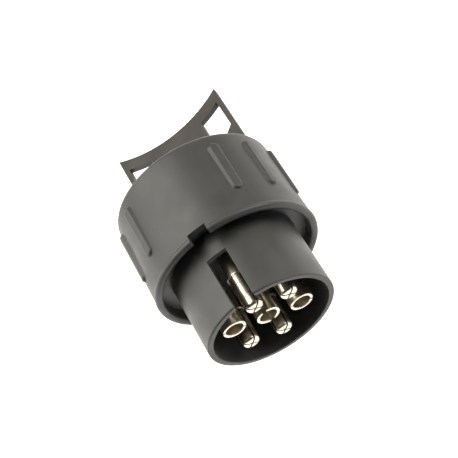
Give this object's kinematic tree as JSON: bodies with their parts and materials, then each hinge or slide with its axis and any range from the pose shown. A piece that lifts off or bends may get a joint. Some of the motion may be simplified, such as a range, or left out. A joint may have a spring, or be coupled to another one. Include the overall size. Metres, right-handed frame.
{
  "type": "trailer wiring connector",
  "caption": "Short trailer-lighting adapter: round keyed plug with pin and tube contacts in front, ribbed grip cap, and a sprung lid with a winged thumb plate over the rear socket.",
  "frame": {"origin": "on the adapter's axis, in the plane of the plug's mouth", "axes": "+Y from the plug's mouth back along the axis, +Z to the side of the plug's keyway, +X across"},
  "size_m": [0.05, 0.0876, 0.0518],
  "materials": {
    "shell_plastic": "satin moulded plastic, dark grey",
    "cap_plastic": "satin moulded plastic, dark grey, slightly warm",
    "lid_plastic": "satin moulded plastic, dark grey",
    "carrier_plastic": "matt black moulding",
    "contact_metal": "bright nickel-plated brass",
    "wire_copper": "bare tinned copper wire",
    "steel": "bright zinc-plated steel",
    "spring_steel": "drawn spring steel",
    "seal_rubber": "matt black rubber"
  },
  "bodies": {
    "housing": {"plug_shell": "shell_plastic", "grip_cap": "cap_plastic", "front_carrier": "carrier_plastic", "pin_contact_1": "contact_metal", "pin_contact_2": "contact_metal", "pin_contact_3": "contact_metal", "pin_contact_4": "contact_metal", "tube_contact_1": "contact_metal", "tube_contact_2": "contact_metal", "tube_contact_3": "contact_metal", "spacer": "carrier_plastic", "rear_carrier": "carrier_plastic", "rear_contact_01": "contact_metal", "rear_contact_02": "contact_metal", "rear_contact_03": "contact_metal", "rear_contact_04": "contact_metal", "rear_contact_05": "contact_metal", "rear_contact_06": "contact_metal", "rear_contact_07": "contact_metal", "rear_contact_08": "contact_metal", "rear_contact_09": "contact_metal", "rear_contact_10": "contact_metal", "rear_contact_11": "contact_metal", "rear_contact_12": "contact_metal", "rear_contact_13": "contact_metal", "link_wire_1": "wire_copper", "link_wire_2": "wire_copper", "link_wire_3": "wire_copper", "link_wire_4": "wire_copper", "link_wire_5": "wire_copper", "link_wire_6": "wire_copper", "link_wire_7": "wire_copper", "rear_sleeve": "shell_plastic", "clamp_screws": "steel", "hinge_pin": "steel", "lid_spring": "spring_steel"},
    "lid": {"lid": "lid_plastic", "lid_gasket": "seal_rubber"}
  },
  "joints": [
    {"name": "lid_hinge", "type": "hinge", "parent": "housing", "child": "lid", "pos_m": [0, 0.0504, -0.0248], "axis": [-1, 0, 0], "range_deg": [0, 100], "stiffness_Nm_per_rad": 0.02, "springref_deg": -51.57}
  ]
}
